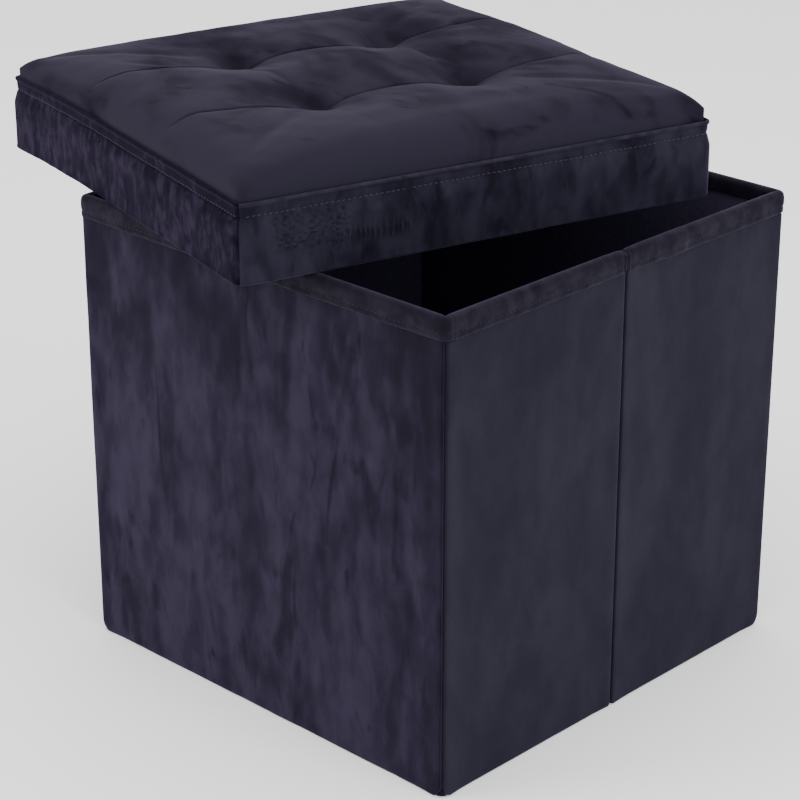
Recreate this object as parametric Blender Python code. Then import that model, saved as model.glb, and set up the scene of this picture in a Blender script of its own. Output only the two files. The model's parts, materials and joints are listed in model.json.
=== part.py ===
"""Folding storage ottoman with a loose padded lid.

Frame: metres, +Z up, origin at the centre of the box's footprint on the floor.
-Y is the plain front wall, +Y the plain back wall. The side walls at -X and +X are
each creased in the middle, so that the box folds flat with the sides tucked inside.
The lid lies askew on the rim, turned and shifted as it was put down.
"""
import math

import bmesh
import bpy
from mathutils import Matrix, Vector

# ---- Driving dimensions -------------------------------------------------------
BOX_WIDTH = 0.364          # across the creased sides, X
BOX_DEPTH = 0.364          # front to back, Y
BOX_HEIGHT = 0.357         # floor to the top of the rim

BOARD = 0.0030             # stiff board in a wall
VELVET = 0.0012            # velvet cover on the outside
LINING = 0.0008            # lining on the inside
GAP = 0.0003               # between faces that touch

BINDING = 0.0012           # folded velvet that caps the rim
BINDING_OUTER_DROP = 0.0165
BINDING_INNER_DROP = 0.0120
BINDING_ROUNDING = 0.62    # share of the binding's half width that its top rounds off
BINDING_SHOULDER = 0.0008  # chamfer inside the fold

WALL_TO_SIDE = 0.0006      # the rim bindings clear each other at the corners
CREASE_SLOT = 0.0015       # open slot between the two halves of a side
BINDING_TO_CREASE = 0.0003  # the binding's face stays short of the crease line

FLAP_BOARD = 0.0024        # base board that swings up for folding
FLAP_LINING = 0.0005
FLAP_TO_BINDING = 0.0006   # stowed flap to the front rim binding
FLAP_TO_SIDE = 0.0008      # stowed flap to the folded side halves
FLAP_SIDE_PLAY = 0.0007    # flap edge to the side bindings
FLAP_BACK_PLAY = 0.0014    # flap's free edge to the back wall's lining
PASS_OVER = 0.0004         # walls that fold clear the lowered flap
FINGER_NOTCH_RADIUS = 0.012

LID_RIM_PLAY = 0.0009      # recess lining to the rim binding, when the lid is closed
LID_EDGE_HEIGHT = 0.056    # lower edge of the lid to its piped top edge
LID_CROWN = 0.024          # padded top above the piped edge
LID_CROWN_POWER = 6        # how flat the padded top is before it rolls over
LID_OVERLAP = 0.033        # depth of the recess that takes the rim
LID_BOARD = 0.0030
LID_LINING_LOW = 0.0010    # lower edge of the recess lining above the lid's lower edge
LID_CORNER_RADIUS = 0.007
LID_TURN = math.radians(-15.8)
LID_SHIFT_X = -0.0865
LID_SHIFT_Y = 0.0018
PIPING_RADIUS = 0.0013

TUFT_SPACING = 0.125       # between neighbouring tufts
TUFT_DIP = 0.006
TUFT_SPREAD = 0.030
THREAD_RADIUS = 0.0011
WASHER_RADIUS = 0.009
WASHER_THICKNESS = 0.0012
WASHER_TO_LINING = 0.0004
THREAD_PLAY = 0.0003       # thread to the hole round it
KNOT_RADIUS = 0.0032
KNOT_HEIGHT = 0.0016
KNOT_CHAMFER = 0.0004
FACET_SAG = 0.0022         # a dimple's flat facets stand this far above its formula

TOP_CELL = 0.0137           # widest cell of the grid over the lid's top
ROUND_STEPS = 4            # facets in a small rounded edge

# ---- Worked out from them -----------------------------------------------------
HALF_W = BOX_WIDTH / 2
HALF_D = BOX_DEPTH / 2
WALL = VELVET + GAP + BOARD + GAP + LINING
BINDING_PROUD = GAP + BINDING
BOARD_OUT = VELVET + GAP                 # board's outer face, in from the outer face
LINING_OUT = BOARD_OUT + BOARD + GAP     # lining's outer face
INNER_LEG = WALL + BINDING_PROUD         # inner face of the binding's inner leg
FLAP = FLAP_BOARD + GAP + FLAP_LINING
UNDERCUT = FLAP + PASS_OVER              # lower edge of every wall that folds
WALL_TOP = BOX_HEIGHT - BINDING - GAP
SKIN_TOP = WALL_TOP - 0.002
SIDE_END = HALF_D - INNER_LEG - WALL_TO_SIDE

CREASE_X = HALF_W + BINDING_PROUD + BINDING_TO_CREASE
CORNER_X = HALF_W - INNER_LEG
FLAP_HINGE_Y = -HALF_D + INNER_LEG + FLAP_TO_BINDING
CORNER_Y = -FLAP_HINGE_Y - FLAP - FLAP_TO_SIDE
FLAP_HINGE_Z = FLAP
FLAP_HALF_WIDTH = HALF_W - INNER_LEG - FLAP_SIDE_PLAY
FLAP_FAR_EDGE = HALF_D - WALL - FLAP_BACK_PLAY

LID_SKIN = VELVET + GAP                  # lid's outer face to its boards
LID_WALL = LID_SKIN + LID_BOARD + GAP + LINING
LID_PAST_BOX = BINDING_PROUD + LID_RIM_PLAY + LID_WALL
LID_HALVES = (HALF_W + LID_PAST_BOX, HALF_D + LID_PAST_BOX)
LID_BASE_Z = BOX_HEIGHT + GAP
LID_BOARD_LOW = LID_OVERLAP + LINING + GAP
LID_BOARD_TOP = LID_BOARD_LOW + LID_BOARD

COLOURS = {
    "velvet": (0.020, 0.018, 0.026, 0.62, 0.0),
    "board": (0.23, 0.16, 0.10, 0.85, 0.0),
    "lining": (0.010, 0.010, 0.011, 0.90, 0.0),
    "foam": (0.62, 0.60, 0.52, 0.95, 0.0),
    "thread": (0.030, 0.026, 0.036, 0.70, 0.0),
}


# ---- Small modelling helpers --------------------------------------------------
def clear_scene():
    """Remove every object, so that the script can be run again."""
    for old in list(bpy.data.objects):
        bpy.data.objects.remove(old, do_unlink=True)


def make_material(name, look):
    """A Principled material with the colour, roughness and metallic value of a look."""
    red, green, blue, roughness, metallic = COLOURS[look]
    material = bpy.data.materials.new(name + "_" + look)
    material.use_nodes = True
    shader = material.node_tree.nodes["Principled BSDF"]
    shader.inputs["Base Color"].default_value = (red, green, blue, 1.0)
    shader.inputs["Roughness"].default_value = roughness
    shader.inputs["Metallic"].default_value = metallic
    return material


def add_object(name, mesh_builder, look, parent=None, matrix=None):
    """Link a bmesh as a named object with its own material, under a parent."""
    bmesh.ops.recalc_face_normals(mesh_builder, faces=mesh_builder.faces)
    mesh = bpy.data.meshes.new(name)
    mesh_builder.to_mesh(mesh)
    mesh_builder.free()
    mesh.materials.append(make_material(name, look))
    piece = bpy.data.objects.new(name, mesh)
    bpy.context.scene.collection.objects.link(piece)
    if parent is not None:
        piece.parent = parent
        piece.matrix_parent_inverse = parent.matrix_world.inverted()
    if matrix is not None:
        piece.matrix_world = matrix
    return piece


def add_pivot(name, position, turn=0.0, parent=None):
    """An empty on a joint's axis, which the pieces that move about it hang on."""
    pivot = bpy.data.objects.new(name, None)
    pivot.empty_display_size = 0.03
    bpy.context.scene.collection.objects.link(pivot)
    place = Matrix.Translation(Vector(position)) @ Matrix.Rotation(turn, 4, "Z")
    if parent is not None:
        pivot.parent = parent
        pivot.matrix_parent_inverse = parent.matrix_world.inverted()
    pivot.matrix_world = place
    bpy.context.view_layer.update()
    return pivot


def box_mesh(low, high):
    """A closed box between two corners."""
    builder = bmesh.new()
    bmesh.ops.create_cube(builder, size=1.0)
    for vert in builder.verts:
        for axis in range(3):
            middle = (low[axis] + high[axis]) / 2
            vert.co[axis] = middle + vert.co[axis] * (high[axis] - low[axis])
    return builder


def is_upright(edge):
    """True for an edge that runs along Z."""
    along = edge.verts[1].co - edge.verts[0].co
    return abs(along.z) > 0.9 * along.length


def round_upright_edges(builder, radius):
    """Round a box's vertical edges."""
    edges = [edge for edge in builder.edges if is_upright(edge)]
    bmesh.ops.bevel(builder, geom=edges, offset=radius, segments=ROUND_STEPS,
                    profile=0.5, affect="EDGES", clamp_overlap=True)


def extrude_profile(profile, start, end, place):
    """A closed prism: profile points (across, up) run along from start to end.

    place turns (along, across, up) into a point in the part's frame.
    """
    builder = bmesh.new()
    ring = [builder.verts.new(place(start, across, up)) for across, up in profile]
    face = builder.faces.new(ring)
    swept = bmesh.ops.extrude_face_region(builder, geom=[face])["geom"]
    shift = place(end, 0.0, 0.0) - place(start, 0.0, 0.0)
    moved = [item for item in swept if isinstance(item, bmesh.types.BMVert)]
    bmesh.ops.translate(builder, vec=shift, verts=moved)
    return builder


def arc(centre_across, centre_up, radius, first, last, steps):
    """Points on a circular arc, angles in degrees."""
    points = []
    for step in range(steps + 1):
        angle = math.radians(first + (last - first) * step / steps)
        points.append((centre_across + radius * math.cos(angle),
                       centre_up + radius * math.sin(angle)))
    return points


def cut_away(target, cutters):
    """Subtract closed cutter objects from a piece, exactly, and drop them."""
    for cutter in cutters:
        cutter.hide_render = True
        cutter.display_type = "WIRE"
        cut = target.modifiers.new("cut_" + cutter.name, "BOOLEAN")
        cut.operation = "DIFFERENCE"
        cut.solver = "EXACT"
        cut.object = cutter


def upright_cylinder(radius, low, high, sides=12, at=(0.0, 0.0)):
    """A closed cylinder about a vertical axis."""
    builder = bmesh.new()
    middle = Matrix.Translation((at[0], at[1], (low + high) / 2))
    bmesh.ops.create_cone(builder, cap_ends=True, segments=sides, radius1=radius,
                          radius2=radius, depth=high - low, matrix=middle)
    return builder


# ---- Walls --------------------------------------------------------------------
def wall_placer(face):
    """Places (along, inward, up) for a wall: 'front', 'back', 'left' or 'right'."""
    def place(along, inward, up):
        if face == "front":
            return Vector((along, -HALF_D + inward, up))
        if face == "back":
            return Vector((along, HALF_D - inward, up))
        if face == "right":
            return Vector((HALF_W - inward, along, up))
        return Vector((-HALF_W + inward, along, up))
    return place


def wall_slab(face, start, end, outer, inner, low, high):
    """A flat layer of a wall, given by its depths behind the outer face."""
    place = wall_placer(face)
    profile = [(outer, low), (inner, low), (inner, high), (outer, high)]
    return extrude_profile(profile, start, end, place)


def binding_mesh(face, start, end):
    """The folded strip that caps the rim: a round top with two legs."""
    outer = -BINDING_PROUD
    inner = INNER_LEG
    top = BOX_HEIGHT
    radius = BINDING_ROUNDING * (inner - outer) / 2
    low_outer = BOX_HEIGHT - BINDING_OUTER_DROP
    low_inner = BOX_HEIGHT - BINDING_INNER_DROP
    under = WALL_TOP + GAP
    profile = [(outer, low_outer)]
    profile += arc(outer + radius, top - radius, radius, 180, 90, ROUND_STEPS)
    profile += arc(inner - radius, top - radius, radius, 90, 0, ROUND_STEPS)
    profile += [(inner, low_inner), (inner - BINDING, low_inner)]
    profile += [(inner - BINDING, under - BINDING_SHOULDER),
                (inner - BINDING - BINDING_SHOULDER, under),
                (outer + BINDING + BINDING_SHOULDER, under),
                (outer + BINDING, under - BINDING_SHOULDER),
                (outer + BINDING, low_outer)]
    return extrude_profile(profile, start, end, wall_placer(face))


def build_wall(name, face, start, end, low, parent, end_play=0.0, binding_reach=0.0):
    """Board, velvet cover, lining and rim binding of one wall panel.

    The layers run from start to end; a full wall's layers stop short of its ends
    by end_play, where a corner wrap closes it, and its binding reaches past them.
    """
    near = start + end_play
    far = end - end_play
    board = wall_slab(face, near, far, BOARD_OUT, BOARD_OUT + BOARD, low, WALL_TOP)
    add_object(name + "_board", board, "board", parent)
    cover = wall_slab(face, near, far, 0.0, VELVET, low, SKIN_TOP)
    add_object(name + "_cover", cover, "velvet", parent)
    lining = wall_slab(face, near, far, LINING_OUT, WALL, low, SKIN_TOP)
    add_object(name + "_lining", lining, "lining", parent)
    binding = binding_mesh(face, start - binding_reach, end + binding_reach)
    add_object(name + "_rim_binding", binding, "velvet", parent)


def build_corner_wrap(name, face, side, parent):
    """Velvet that wraps the end of a full wall, from the floor to the rim binding."""
    outer_end = side * HALF_W
    inner_end = side * (HALF_W - VELVET)
    place = wall_placer(face)
    top = BOX_HEIGHT - BINDING_OUTER_DROP - GAP
    round_radius = VELVET * 0.7
    centre = HALF_W - round_radius
    profile = [(inner_end, WALL), (inner_end, 0.0)]
    for along, inward in arc(centre, round_radius, round_radius, -90, 0, ROUND_STEPS):
        profile.append((side * along, inward))
    profile.append((outer_end, WALL))
    builder = bmesh.new()
    ring = [builder.verts.new(place(along, inward, 0.0)) for along, inward in profile]
    base = builder.faces.new(ring)
    swept = bmesh.ops.extrude_face_region(builder, geom=[base])["geom"]
    moved = [item for item in swept if isinstance(item, bmesh.types.BMVert)]
    bmesh.ops.translate(builder, vec=(0.0, 0.0, top), verts=moved)
    add_object(name, builder, "velvet", parent)


def build_box():
    """The four walls, each side wall in two halves, on their fold axes."""
    wrap_play = VELVET + GAP
    build_wall("front", "front", -HALF_W, HALF_W, 0.0, None, wrap_play, BINDING_PROUD)
    for side, word in ((1, "right"), (-1, "left")):
        build_corner_wrap("front_" + word + "_corner_wrap", "front", side, None)

    half_slot = CREASE_SLOT / 2
    back_parent = None
    for side, word in ((1, "right"), (-1, "left")):
        front_pivot = add_pivot(word + "_front_corner_axis",
                                (side * CORNER_X, -CORNER_Y, 0.0))
        build_wall(word + "_front", word, -SIDE_END, -half_slot, UNDERCUT, front_pivot)
        crease = add_pivot(word + "_crease_axis", (side * CREASE_X, 0.0, 0.0),
                           parent=front_pivot)
        build_wall(word + "_back", word, half_slot, SIDE_END, UNDERCUT, crease)
        if side == 1:
            back_parent = add_pivot("back_corner_axis", (CORNER_X, CORNER_Y, 0.0),
                                    parent=crease)
    build_wall("back", "back", -HALF_W, HALF_W, UNDERCUT, back_parent, wrap_play,
               BINDING_PROUD)
    for side, word in ((1, "right"), (-1, "left")):
        build_corner_wrap("back_" + word + "_corner_wrap", "back", side, back_parent)


# ---- Base flap ----------------------------------------------------------------
def build_base():
    """The base board and its lining, hinged along the foot of the front wall."""
    pivot = add_pivot("base_flap_axis", (0.0, FLAP_HINGE_Y, FLAP_HINGE_Z))
    notch = upright_cylinder(FINGER_NOTCH_RADIUS, -FLAP, 2 * FLAP, sides=24,
                             at=(0.0, FLAP_FAR_EDGE))
    notch_cutter = add_object("finger_notch_cutter", notch, "board", pivot)
    layers = (("base_board", 0.0, FLAP_BOARD, "board"),
              ("base_lining", FLAP_BOARD + GAP, FLAP, "lining"))
    for name, low, high, look in layers:
        slab = box_mesh((-FLAP_HALF_WIDTH, FLAP_HINGE_Y, low),
                        (FLAP_HALF_WIDTH, FLAP_FAR_EDGE, high))
        cut_away(add_object(name, slab, look, pivot), [notch_cutter])


# ---- Lid ----------------------------------------------------------------------
def tuft_places():
    """The four tufts, on a square about the lid's middle."""
    reach = TUFT_SPACING / 2
    return [(x, y) for y in (-reach, reach) for x in (-reach, reach)]


def crown_height(x, y, halves):
    """Height of the padded top above its edge, dimpled at each tuft."""
    across = min(abs(x) / halves[0], 1.0)
    along = min(abs(y) / halves[1], 1.0)
    power = LID_CROWN_POWER
    dome = LID_CROWN * math.sqrt((1 - across ** power) * (1 - along ** power))
    dip = 0.0
    for tuft_x, tuft_y in tuft_places():
        away = math.hypot(x - tuft_x, y - tuft_y) / TUFT_SPREAD
        dip += TUFT_DIP * math.exp(-away * away)
    return max(dome - dip, 0.0)


def inset_halves(inset):
    """The lid's half width and half depth, this far in from its outer faces."""
    return LID_HALVES[0] - inset, LID_HALVES[1] - inset


def round_corner(x, y, halves, radius):
    """Move a point of a rectangular grid into a rectangle with round corners."""
    past_x = abs(x) - (halves[0] - radius)
    past_y = abs(y) - (halves[1] - radius)
    if past_x <= 0 or past_y <= 0:
        return x, y
    pull = max(past_x, past_y) / math.hypot(past_x, past_y)
    return (math.copysign(halves[0] - radius + past_x * pull, x),
            math.copysign(halves[1] - radius + past_y * pull, y))


def top_surface(builder, inset, edge_height):
    """A grid of vertices over the lid's top, inset from its outside; returns its rows."""
    halves = inset_halves(inset)
    radius = LID_CORNER_RADIUS - inset
    across, along = (2 * math.ceil(half / TOP_CELL) for half in LID_HALVES)
    rows = []
    for row in range(along + 1):
        line = []
        for column in range(across + 1):
            x, y = round_corner(halves[0] * spread(column, across),
                                halves[1] * spread(row, along), halves, radius)
            height = edge_height + crown_height(x, y, halves)
            line.append(builder.verts.new((x, y, height)))
        rows.append(line)
    return rows


def spread(index, cells):
    """Grid places from -1 to 1, closer together near the edges."""
    even = 2 * index / cells - 1
    return (even + math.sin(math.pi / 2 * even)) / 2


def skin_grid(builder, rows):
    """Triangles over a grid of vertices, all split along the same diagonal."""
    for row in range(len(rows) - 1):
        for column in range(len(rows[0]) - 1):
            near, right = rows[row][column], rows[row][column + 1]
            far, left = rows[row + 1][column + 1], rows[row + 1][column]
            builder.faces.new((near, right, far))
            builder.faces.new((near, far, left))


def border(rows):
    """The grid's outline, in order."""
    far, last = len(rows) - 1, len(rows[0]) - 1
    loop = [rows[0][i] for i in range(last)]
    loop += [rows[i][last] for i in range(far)]
    loop += [rows[far][last - i] for i in range(last)]
    loop += [rows[far - i][0] for i in range(far)]
    return loop


def join_loops(builder, upper, lower):
    """A band of faces between two outlines of equal count."""
    count = len(upper)
    for index in range(count):
        after = (index + 1) % count
        builder.faces.new((upper[index], lower[index], lower[after], upper[after]))


def lid_cover_mesh():
    """The velvet cover: crowned top and four sides, open underneath."""
    builder = bmesh.new()
    outer_rows = top_surface(builder, 0.0, LID_EDGE_HEIGHT)
    inner_rows = top_surface(builder, VELVET, LID_EDGE_HEIGHT - VELVET)
    skin_grid(builder, outer_rows)
    skin_grid(builder, inner_rows)
    outer_top = border(outer_rows)
    inner_top = border(inner_rows)
    outer_low = [builder.verts.new((v.co.x, v.co.y, 0.0)) for v in outer_top]
    inner_low = [builder.verts.new((v.co.x, v.co.y, 0.0)) for v in inner_top]
    join_loops(builder, outer_top, outer_low)
    join_loops(builder, inner_low, inner_top)
    join_loops(builder, outer_low, inner_low)
    return builder


def lid_foam_mesh():
    """The foam pad between the lid board and the cover."""
    builder = bmesh.new()
    floor = LID_BOARD_TOP + GAP
    rows = top_surface(builder, LID_SKIN, LID_EDGE_HEIGHT - LID_SKIN - GAP)
    skin_grid(builder, rows)
    rim = border(rows)
    base = [builder.verts.new((v.co.x, v.co.y, floor)) for v in rim]
    join_loops(builder, rim, base)
    builder.faces.new(base[::-1])
    return builder


def lid_skirt_mesh(side):
    """One of four boards that stand down around the recess, short of the corners."""
    outer_x, outer_y = inset_halves(LID_SKIN)
    inner_x, inner_y = inset_halves(LID_SKIN + LID_BOARD)
    end_x, end_y = inset_halves(LID_CORNER_RADIUS + LID_BOARD)
    top = LID_BOARD_LOW - GAP
    if side == "front":
        return box_mesh((-end_x, -outer_y, 0.0), (end_x, -inner_y, top))
    if side == "back":
        return box_mesh((-end_x, inner_y, 0.0), (end_x, outer_y, top))
    if side == "right":
        return box_mesh((inner_x, -end_y, 0.0), (outer_x, end_y, top))
    return box_mesh((-outer_x, -end_y, 0.0), (-inner_x, end_y, top))


def lid_lining_mesh():
    """The recess lining: a shallow open tray that faces down."""
    outer = inset_halves(LID_WALL - LINING)
    inner = inset_halves(LID_WALL)
    top = LID_OVERLAP + LINING
    builder = bmesh.new()
    loops = []
    for halves, height in ((outer, LID_LINING_LOW), (outer, top),
                           (inner, LID_OVERLAP), (inner, LID_LINING_LOW)):
        loops.append([builder.verts.new((x * halves[0], y * halves[1], height))
                      for x, y in ((-1, -1), (1, -1), (1, 1), (-1, 1))])
    join_loops(builder, loops[1], loops[0])
    join_loops(builder, loops[3], loops[2])
    join_loops(builder, loops[0], loops[3])
    builder.faces.new(loops[1])
    builder.faces.new(loops[2][::-1])
    return builder


def tuft_mesh(x, y):
    """A stitched tie: a knot in the dimple, a thread through the pad, a washer."""
    surface = LID_EDGE_HEIGHT + crown_height(x, y, LID_HALVES)
    head_low = surface + FACET_SAG + GAP
    head_top = head_low + KNOT_HEIGHT
    washer_top = LID_OVERLAP - WASHER_TO_LINING
    washer_low = washer_top - WASHER_THICKNESS
    profile = [(0.0, head_top), (KNOT_RADIUS - 2 * KNOT_CHAMFER, head_top),
               (KNOT_RADIUS, head_top - KNOT_CHAMFER), (KNOT_RADIUS, head_low + KNOT_CHAMFER),
               (KNOT_RADIUS - KNOT_CHAMFER, head_low), (THREAD_RADIUS, head_low),
               (THREAD_RADIUS, washer_top), (WASHER_RADIUS, washer_top),
               (WASHER_RADIUS, washer_low), (0.0, washer_low)]
    builder = bmesh.new()
    ring = [builder.verts.new((x + radius, y, height)) for radius, height in profile]
    edges = [builder.edges.new((ring[i], ring[i + 1])) for i in range(len(ring) - 1)]
    bmesh.ops.spin(builder, geom=ring + edges, cent=(x, y, 0.0), axis=(0, 0, 1),
                   angle=2 * math.pi, steps=12, use_merge=True)
    bmesh.ops.remove_doubles(builder, verts=builder.verts, dist=1e-6)
    return builder


def piping_curve(name, parent, matrix):
    """The piped seam along the lid's top edge, a closed round cord."""
    curve = bpy.data.curves.new(name, "CURVE")
    curve.dimensions = "3D"
    curve.bevel_depth = PIPING_RADIUS
    curve.bevel_resolution = 1
    reach_x, reach_y = inset_halves(-PIPING_RADIUS - GAP)
    corner = LID_CORNER_RADIUS
    height = LID_EDGE_HEIGHT - PIPING_RADIUS
    points = []
    for sign_x, sign_y, first in ((1, 1, 0), (-1, 1, 90), (-1, -1, 180), (1, -1, 270)):
        centre_x = sign_x * (reach_x - corner)
        centre_y = sign_y * (reach_y - corner)
        for x, y in arc(centre_x, centre_y, corner, first, first + 90, ROUND_STEPS):
            points.append((x, y, height))
    spline = curve.splines.new("POLY")
    spline.points.add(len(points) - 1)
    for point, place in zip(spline.points, points):
        point.co = (*place, 1.0)
    spline.use_cyclic_u = True
    curve.materials.append(make_material(name, "velvet"))
    piece = bpy.data.objects.new(name, curve)
    bpy.context.scene.collection.objects.link(piece)
    piece.parent = parent
    piece.matrix_world = matrix


def build_lid():
    """The lid: board, foam, cover, skirt boards, recess lining, ties and piping."""
    lid_pivot = add_pivot("lid_lift_axis", (LID_SHIFT_X, LID_SHIFT_Y, LID_BASE_Z),
                          turn=LID_TURN)
    here = lid_pivot.matrix_world.copy()

    def add(name, builder, look):
        return add_object(name, builder, look, lid_pivot, here)

    holes = []
    for number, (x, y) in enumerate(tuft_places(), start=1):
        hole = upright_cylinder(THREAD_RADIUS + THREAD_PLAY, -LID_EDGE_HEIGHT,
                                2 * LID_EDGE_HEIGHT, at=(x, y))
        holes.append(add("tuft_hole_cutter_%d" % number, hole, "board"))
    board_x, board_y = inset_halves(LID_SKIN)
    board = box_mesh((-board_x, -board_y, LID_BOARD_LOW), (board_x, board_y, LID_BOARD_TOP))
    round_upright_edges(board, LID_CORNER_RADIUS)
    cut_away(add("lid_board", board, "board"), holes)
    cut_away(add("lid_foam", lid_foam_mesh(), "foam"), holes)
    cut_away(add("lid_cover", lid_cover_mesh(), "velvet"), holes)
    cut_away(add("lid_lining", lid_lining_mesh(), "lining"), holes)
    for side in ("front", "back", "left", "right"):
        add("lid_skirt_" + side, lid_skirt_mesh(side), "board")
    for number, (x, y) in enumerate(tuft_places(), start=1):
        add("tuft_tie_%d" % number, tuft_mesh(x, y), "thread")
    piping_curve("lid_piping", lid_pivot, here)


clear_scene()
build_box()
build_base()
build_lid()
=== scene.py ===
"""Looks of the folding velvet storage ottoman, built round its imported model.

Everything is in metres in the part's own frame: -Y is the plain front wall, the side
walls at -X and +X are creased in the middle, and the padded lid lies askew on the rim.
"""
import json
import math

import bmesh
import bpy
import numpy as np
from mathutils import Matrix, Vector, noise


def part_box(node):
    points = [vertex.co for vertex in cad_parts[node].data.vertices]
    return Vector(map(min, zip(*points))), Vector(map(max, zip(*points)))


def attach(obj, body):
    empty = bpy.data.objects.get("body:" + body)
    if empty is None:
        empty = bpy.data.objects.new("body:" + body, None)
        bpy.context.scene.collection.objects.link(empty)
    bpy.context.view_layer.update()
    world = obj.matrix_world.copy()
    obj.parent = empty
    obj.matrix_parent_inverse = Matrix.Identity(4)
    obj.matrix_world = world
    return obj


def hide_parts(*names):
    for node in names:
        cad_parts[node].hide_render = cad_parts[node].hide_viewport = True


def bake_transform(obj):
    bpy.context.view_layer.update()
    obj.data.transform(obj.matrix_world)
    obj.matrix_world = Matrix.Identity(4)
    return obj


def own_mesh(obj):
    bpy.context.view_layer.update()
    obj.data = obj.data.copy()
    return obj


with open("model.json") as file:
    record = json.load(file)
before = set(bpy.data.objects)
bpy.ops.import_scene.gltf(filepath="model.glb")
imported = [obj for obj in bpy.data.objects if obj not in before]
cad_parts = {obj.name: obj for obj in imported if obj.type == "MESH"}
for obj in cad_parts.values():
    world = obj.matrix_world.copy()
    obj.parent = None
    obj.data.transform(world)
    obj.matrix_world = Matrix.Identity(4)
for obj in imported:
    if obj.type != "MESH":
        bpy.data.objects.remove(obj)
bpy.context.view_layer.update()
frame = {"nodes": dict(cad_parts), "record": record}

# ---- Read from the frame ----
cover_low, cover_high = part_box("right_front_cover")
rim_low, rim_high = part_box("front_rim_binding")
board_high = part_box("front_board")[1]
lid_board_low, lid_board_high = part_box("lid_board")

HALF_W = cover_high.x
HALF_D = -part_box("front_cover")[0].y
RIM_TOP, RIM_LOW = rim_high.z, rim_low.z
RIM_PROUD = -rim_low.y - HALF_D
RIM_INNER = rim_high.y + HALF_D
WALL_TOP = board_high.z
SLAB = board_high.y + HALF_D
UNDERCUT = cover_low.z
SIDE_END, HALF_SLOT = -cover_low.y, -cover_high.y
LID_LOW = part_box("lid_skirt_front")[0].z
LID_CENTRE = (lid_board_low + lid_board_high) / 2
LID_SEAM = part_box("lid_piping")[1].z - LID_LOW
LID_BOARD_LOW, LID_BOARD_TOP = lid_board_low.z - LID_LOW, lid_board_high.z - LID_LOW
LID_WASHER_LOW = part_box("tuft_tie_1")[0].z - LID_LOW

# ---- Chosen sizes ----
CELL = 0.0035              # grid spacing on the walls
EDGE_ROUND = 0.0026        # soft outer edges of a wall panel
EDGE_BEAD = 0.0009         # the velvet stands proud along a panel's edges
EDGE_BEAD_WIDTH = 0.010
SKIN = 0.002               # depth over which a face's relief fades out
CREASE_ROUND = 0.0016      # edges of a panel at its crease
FOOT_ROUND = 0.0016        # lower edge of a wall
CORNER_FOOT = 0.0095       # rounded lower corners of a wall, seen from outside
CREASE_FOOT = 0.0035       # the same, at the crease
STRIP_LOW = 0.0052         # lower end of the strips in the creases and corners
MITRE_GAP = 0.00045        # half the groove at an upright corner
HEM_LOW = 0.0002           # the velvet clears the floor by this
RIM_TURN = 0.0042          # the binding's radius round an upright corner
RIM_TURN_REACH = 0.0074    # how far it goes on round the corner
RIM_JOINT_AT = 0.063       # where the binding's ends overlap, on the right wall
STITCH_PITCH = 0.0042
LID_TURN = math.radians(-15.8)
LID_ROUND = 0.0065         # the lid's upright corners
BAND_THICK = 0.0011
CROWN = 0.0256             # the pad's height above its seam
PAD_CAP = 0.0025           # the cloth simulation moves no point of the pad further
FRAMES = 20                # length of the simulation
TUFT_DEPTH = 0.0175
TUFT_HELD = 0.0032         # the pad is held fast within this of a tuft
LEFT_SLACK = 0.20          # the pad is this much thinner towards its left side
LEFT_SAG = 0.0052          # how far the lid's overhanging left side hangs down
SHOULDER = 0.026           # width of the pad's rounded shoulder
PAD_CELLS = 96             # cells of the pad's grid each way
TUFT = 0.0618              # tufts lie this far from the lid's middle along both sides
TUFTS = tuple((x, y) for y in (-TUFT, TUFT) for x in (-TUFT, TUFT))

LID_MATRIX = Matrix.Translation((LID_CENTRE.x, LID_CENTRE.y, LID_LOW)) @ Matrix.Rotation(
    LID_TURN, 4, "Z")
LID_HALF = max((LID_MATRIX.inverted() @ vertex.co).x
               for vertex in frame["nodes"]["lid_cover"].data.vertices)


# ---- Small helpers ----
def smooth(low, high, value):
    """0 below low, 1 above high, and a smooth step between."""
    t = min(max((value - low) / (high - low), 0.0), 1.0)
    return t * t * (3 - 2 * t)


def bump(value, middle, width):
    """A smooth hump of height 1 about a middle."""
    return math.exp(-((value - middle) / width) ** 2)


def ripple(x, y, z):
    """Perlin noise at a point, about -1 to 1."""
    return noise.noise(Vector((x, y, z)))


def linked(name, data):
    """A new object of the scene."""
    item = bpy.data.objects.new(name, data)
    bpy.context.scene.collection.objects.link(item)
    return item


def make_object(name, points, faces, material, sharp=None):
    """A smooth mesh object with its faces turned out."""
    mesh = bpy.data.meshes.new(name)
    mesh.from_pydata([tuple(p) for p in points], [], faces)
    builder = bmesh.new()
    builder.from_mesh(mesh)
    bmesh.ops.recalc_face_normals(builder, faces=builder.faces)
    builder.to_mesh(mesh)
    builder.free()
    mesh.shade_smooth()
    if sharp is not None:
        mesh.set_sharp_from_angle(angle=math.radians(sharp))
    mesh.materials.append(material)
    return linked(name, mesh)


def loft(rings, closed=False):
    """Points and faces of a body through closed rings, capped, or joined end to start."""
    count = len(rings[0])
    points = [p for ring in rings for p in ring]
    faces = []
    last = len(rings) if closed else len(rings) - 1
    for r in range(last):
        here = r * count
        there = ((r + 1) % len(rings)) * count
        for i in range(count):
            j = (i + 1) % count
            faces.append((here + i, here + j, there + j, there + i))
    if not closed:
        faces.append(tuple(range(count - 1, -1, -1)))
        faces.append(tuple(range(len(points) - count, len(points))))
    return points, faces


def curve_through(before, corner, after, steps=5):
    """Points of a quadratic curve that rounds a corner off."""
    points = []
    for step in range(steps + 1):
        t = step / steps
        points.append(tuple((1 - t) ** 2 * a + 2 * t * (1 - t) * b + t * t * c
                            for a, b, c in zip(before, corner, after)))
    return points


def spaced(start, end, spacing):
    """Values from start to end, about this far apart."""
    count = max(2, round(abs(end - start) / spacing))
    return [start + (end - start) * i / count for i in range(count + 1)]


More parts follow.
